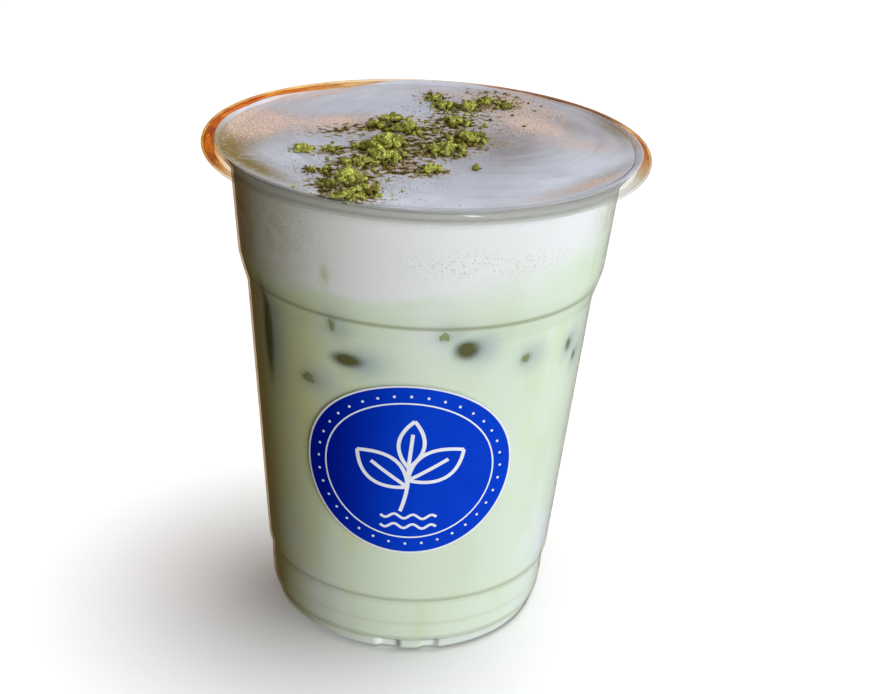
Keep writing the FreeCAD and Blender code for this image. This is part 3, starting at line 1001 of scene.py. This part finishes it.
def ribbon(line, width):
    """A flat closed strip of a width in millimetres along a line of points (u, v). It stands a little
    over the label's paper and reaches a little into it."""
    ahead = np.gradient(line, axis=0) * LABEL_HALF
    ahead /= np.hypot(*ahead.T)[:, None]
    across = np.stack([-ahead[:, 1], ahead[:, 0]], 1) * np.asarray(width).reshape(-1, 1) / 2 / LABEL_HALF
    left, right = line + across, line - across
    top, low = PAPER + 0.04, PAPER - 0.03
    sides = [(left, top), (right, top), (right, low), (left, low)]
    rings = np.stack([on_label(*edge.T, lift) for edge, lift in sides], 1)
    rows = len(line)
    points = rings.reshape(-1, 3)
    quads = grid_quads(rows, 4)
    ends = np.array([[0, 1, 2, 3], [4 * rows - 1, 4 * rows - 2, 4 * rows - 3, 4 * rows - 4]])
    return points, np.vstack([quads, ends[:, ::-1]])


def curve(start, bend, end, count=40):
    """Points of a curve that leaves start towards bend and comes to end: a parabola through both ends."""
    t = np.linspace(0, 1, count)[:, None]
    start, bend, end = (np.array(p) for p in (start, bend, end))
    return (1 - t) ** 2 * start + 2 * t * (1 - t) * bend + t ** 2 * end


def leaf(base, tip, bulge, line_width):
    """Outline of a leaf from base to tip, and its midrib, as ribbons."""
    base, tip = np.array(base), np.array(tip)
    side = np.array([-(tip - base)[1], (tip - base)[0]]) * bulge
    middle = (base + tip) / 2
    rib_end = base + 0.72 * (tip - base)
    bends = [(middle + side, tip), (middle - side, tip), ((base + rib_end) / 2, rib_end)]
    return [ribbon(curve(base, bend, end), line_width) for bend, end in bends]


def circle(size, line_width):
    """A ring about the label's middle, of that share of the label's size."""
    turns = np.radians(np.linspace(0.0, 360.0, 120))
    return ribbon(np.stack([size * np.cos(turns), size * np.sin(turns)], 1), line_width)


def dot(u, v, size):
    """A filled spot, as a short stroke whose width at each point is a circle's."""
    t = np.linspace(-1, 1, 13)
    line = np.stack([u + t * size / LABEL_HALF[0], np.full(len(t), v)], 1)
    return ribbon(line, 2 * size * np.sqrt(np.maximum(1 - t ** 2, 0.01)))


# Leaves and bud of the sprig: base, tip, and how far the sides bulge
SPRIG = [
    ((0.0, -0.18), (-0.48, 0.2), 0.55),
    ((0.0, -0.1), (0.5, 0.26), 0.55),
    ((0.0, 0.05), (0.04, 0.6), 0.42),
]


def make_print(material):
    """White printed lines: a sprig of tea with two leaves and a bud over two wave lines, inside a ring,
    with a ring of dots outside it."""
    strokes = []
    for base, tip, bulge in SPRIG:
        strokes += leaf(base, tip, bulge, 0.8)
    strokes.append(ribbon(curve((0.0, 0.06), (0.02, -0.2), (-0.06, -0.48)), 0.8))
    strokes.append(circle(0.8, 0.35))
    for k in range(36):
        turn = math.radians(10 * k)
        strokes.append(dot(0.88 * math.cos(turn), 0.88 * math.sin(turn), 0.3))
    for k in (-1, 1):
        t = np.linspace(-1, 1, 60)
        wave = np.stack([0.02 + 0.26 * t, -0.6 - 0.06 * k + 0.025 * np.sin(3 * math.pi * t)], 1)
        strokes.append(ribbon(wave, 0.6))
    offset, points, quads = 0, [], []
    for p, q in strokes:
        points.append(p)
        quads.append(q + offset)
        offset += len(p)
    return piece("label_print", np.vstack(points), np.vstack(quads), (), {}, material, 30)


# The cup

def make_cup(material):
    """The sheet as one closed skin: up its outer side, round the roll to its end and back, and down its
    inner side. Attributes mark the rim, its painted warm reflections and painted dark-brown reflection, and
    a painted warm shade on the wall's left."""
    angles = round_angles(200, 5)
    turns = np.linspace(flare()[1] + math.pi / 2, math.radians(ROLL_END), 22)
    middle = np.array([RIM - ROLL, TOP - ROLL])
    spokes = np.stack([np.cos(turns), np.sin(turns)], 1)
    outer = refined(bent_path(0.0, 5), 4.0, 0.5)
    inner = refined(bent_path(WALL, 5), 4.0, 0.5)
    roll_inside, roll_outside = middle + (ROLL - WALL) * spokes, middle + ROLL * spokes
    path = np.vstack([outer[1:], roll_inside[1:], roll_outside[::-1], inner[:0:-1]])
    limit = np.full((len(path), 1), FOOT - NOTCH_DEPTH)
    limit[len(outer) + 20:] -= WALL
    radius = notched(path[:, :1], path[:, 1:], angles, limit)
    rings = ring_points(radius, path[:, 1:], angles)
    floor_under, floor_over = np.array([0, 0, FLOOR_LIFT]), np.array([0, 0, FLOOR_LIFT + WALL])
    points, quads, fans = closed_rings(rings, floor_under, floor_over)
    radius = np.hypot(points[:, 0], points[:, 1])
    bearing = np.degrees(np.arctan2(points[:, 0], -points[:, 1]))
    # Painted warm reflections on the rim, at the left and at the right
    left = smooth(-42, -80, bearing) * (1 - 0.65 * smooth(-125, -170, bearing))
    right = 0.9 * smooth(60, 100, bearing) * (1 - 0.4 * smooth(140, 175, bearing))
    rim = smooth(RIM - 5.0, RIM - 3.4, radius) * (points[:, 2] > TOP - 8)
    painted_rim_reflection = (left + right) * rim
    # A painted warm shade on the wall's left, below the rim
    painted_warm_shade = smooth(-50, -78, bearing) * smooth(-116, -88, bearing) * (1 - rim)
    # A painted dark-brown reflection on the rim at the back right
    painted_dark_reflection = 0.85 * smooth(105, 125, bearing) * (1 - smooth(160, 176, bearing))
    values = {"painted_rim_reflection": painted_rim_reflection, "painted_warm_shade": painted_warm_shade, "rim": rim, "painted_dark_reflection": painted_dark_reflection}
    made = piece("clear_cup", points, quads, fans, values, material)
    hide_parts("cup")
    return made


# Floor, light and camera

def make_floor():
    """A wide floor under the foot, its half size in metres."""
    half = 4.0
    mesh = bpy.data.meshes.new("floor")
    corners = [(-half, -half, 0), (half, -half, 0), (half, half, 0), (-half, half, 0)]
    mesh.from_pydata(corners, [], [(0, 1, 2, 3)])
    floor = bpy.data.objects.new("floor", mesh)
    bpy.context.scene.collection.objects.link(floor)
    mesh.materials.append(floor_material())
    floor.visible_diffuse = False
    floor.visible_glossy = False
    floor.visible_shadow = False
    return floor


def aimed(position, target):
    """A matrix at position that looks at target."""
    position, target = np.array(position, float), np.array(target, float)
    back = position - target
    back /= np.linalg.norm(back)
    right = np.cross([0, 0, 1], back)
    right /= np.linalg.norm(right)
    up = np.cross(back, right)
    return Matrix([[right[i], up[i], back[i], position[i]] for i in range(3)] + [[0, 0, 0, 1]])


CUP_MIDDLE = (0, 0, 0.055)   # in metres


def around(bearing, elevation):
    """A place one metre from the cup's middle at a bearing from the front towards +X, in metres."""
    a, e = math.radians(bearing), math.radians(elevation)
    return math.sin(a) * math.cos(e), -math.cos(a) * math.cos(e), math.sin(e) + CUP_MIDDLE[2]


def lamp(name, kind, bearing, elevation, energy, tint, diffuse=True, glossy=True, **settings):
    """A lamp that faces the cup's middle."""
    data = bpy.data.lights.new(name, kind)
    data.energy = energy
    data.color = colour(tint)[:3]
    for key, value in settings.items():
        setattr(data, key, value)
    made = bpy.data.objects.new(name, data)
    bpy.context.scene.collection.objects.link(made)
    made.matrix_world = aimed(around(bearing, elevation), CUP_MIDDLE)
    made.visible_diffuse = diffuse
    made.visible_glossy = glossy
    made.visible_transmission = glossy
    return made


def lights_only(made, pieces):
    """Lets a lamp light these pieces and nothing else."""
    group = bpy.data.collections.new(made.name + "_receivers")
    for each in pieces:
        group.objects.link(each)
    made.light_linking.receiver_collection = group


# Soft lights on the drink and its cup: bearing, elevation, strength, tint, and how wide the source looks.
# A broad key from the front right and its bounce off the table, a side light from the right, a little
# warm light from the front left, one low behind and one above.
SOFT_LIGHTS = {
    "key": (34, 14, 2.05, "#FFFFFF", 35),
    "bounce": (42, -38, 0.8, "#FFFFFF", 50),
    "side": (115, 14, 1.5, "#FFFFFF", 30),
    "warm_fill": (-15, 10, 0.3, "#FFF3C8", 60),
    "back_fill": (203, 8, 2.0, "#FFFFFF", 15),
    "above": (165, 66, 1.15, "#F2F5FF", 30),
}


def make_lights(drink, floor):
    """The soft lights, a high light for the floor alone, and a strip that only shows as a reflection."""
    for name, (bearing, elevation, energy, tint, width) in SOFT_LIGHTS.items():
        width = math.radians(width)
        lights_only(lamp(name, "SUN", bearing, elevation, energy, tint, glossy=False, angle=width), drink)
    sweep = lamp("sweep", "SUN", 112, 81, 3.0, "#FFFFFF", glossy=False, angle=math.radians(37))
    lights_only(sweep, [floor])
    strip = {"shape": "RECTANGLE", "size": 0.08, "size_y": 0.5}
    lamp("strip", "AREA", 25, 35, 1.0, "#FFFFFF", diffuse=False, **strip)


def make_world():
    """A pale room seen by the camera, and for light a room bright at the front right and warm and dark
    at the left."""
    world = bpy.data.worlds.new("room")
    bpy.context.scene.world = world
    world.use_nodes = True
    tree = world.node_tree
    tree.nodes.clear()
    direction = node(tree, "ShaderNodeTexCoord").outputs["Generated"]
    bright_side = (math.sin(math.radians(70)), -math.cos(math.radians(70)), -0.3)
    facing = node(tree, "ShaderNodeVectorMath", {0: direction, 1: bright_side}, operation="DOT_PRODUCT")
    towards = facing.outputs["Value"]
    up = node(tree, "ShaderNodeSeparateXYZ", {0: direction}).outputs[2]
    sides = mixed(tree, between(tree, towards, -0.6, 0.9), (0.045, 0.028, 0.008, 1), (0.16, 0.16, 0.16, 1))
    sky = mixed(tree, between(tree, up, 0.1, 1.0), sides, (0.05, 0.055, 0.07, 1))
    lit = node(tree, "ShaderNodeBackground", {"Color": sky, "Strength": 1.0})
    seen = node(tree, "ShaderNodeBackground", {"Color": colour("#FBFBFC"), "Strength": 1.0})
    camera_ray = node(tree, "ShaderNodeLightPath").outputs["Is Camera Ray"]
    both = node(tree, "ShaderNodeMixShader", {0: camera_ray, 1: lit.outputs[0], 2: seen.outputs[0]})
    out = node(tree, "ShaderNodeOutputWorld")
    tree.links.new(both.outputs[0], out.inputs["Surface"])


def make_camera():
    """A camera that looks down on the rim from the front, turned a little to the cup's left."""
    place = (0.0, -0.31289, 0.20429)
    pan, tilt, roll = (math.radians(a) for a in (0.738, -24.559, 3.138))
    ahead = np.array([math.sin(pan) * math.cos(tilt), math.cos(pan) * math.cos(tilt), math.sin(tilt)])
    right = np.cross(ahead, [0, 0, 1])
    right /= np.linalg.norm(right)
    up = np.cross(right, ahead)
    c, s = math.cos(roll), math.sin(roll)
    x, y = c * right + s * up, c * up - s * right
    data = bpy.data.cameras.new("camera")
    data.sensor_width = 36.0
    data.lens = 63.27
    data.clip_start = 0.01
    camera = bpy.data.objects.new("camera", data)
    camera.matrix_world = Matrix([[x[i], y[i], -ahead[i], place[i]] for i in range(3)] + [[0, 0, 0, 1]])
    bpy.context.scene.collection.objects.link(camera)
    bpy.context.scene.camera = camera
    bpy.context.scene.view_settings.view_transform = "Standard"


def main():
    """Camera, drink, cup, room and lights."""
    make_camera()
    path = contents_path()
    angles = round_angles(232, 4)
    drink = [make_latte(path, angles, latte_material())]
    foam = foam_material()
    drink.append(make_foam(path, np.linspace(0, 2 * math.pi, 420, endpoint=False), foam))
    drink.append(make_film(foam))
    drink.append(make_ice(path, ice_material()))
    drink.extend(make_powder(powder_material()))
    drink.append(make_label(paper_material()))
    drink.append(make_print(ink_material()))
    drink.append(make_cup(clear_pet()))
    make_world()
    make_lights(drink, make_floor())


main()
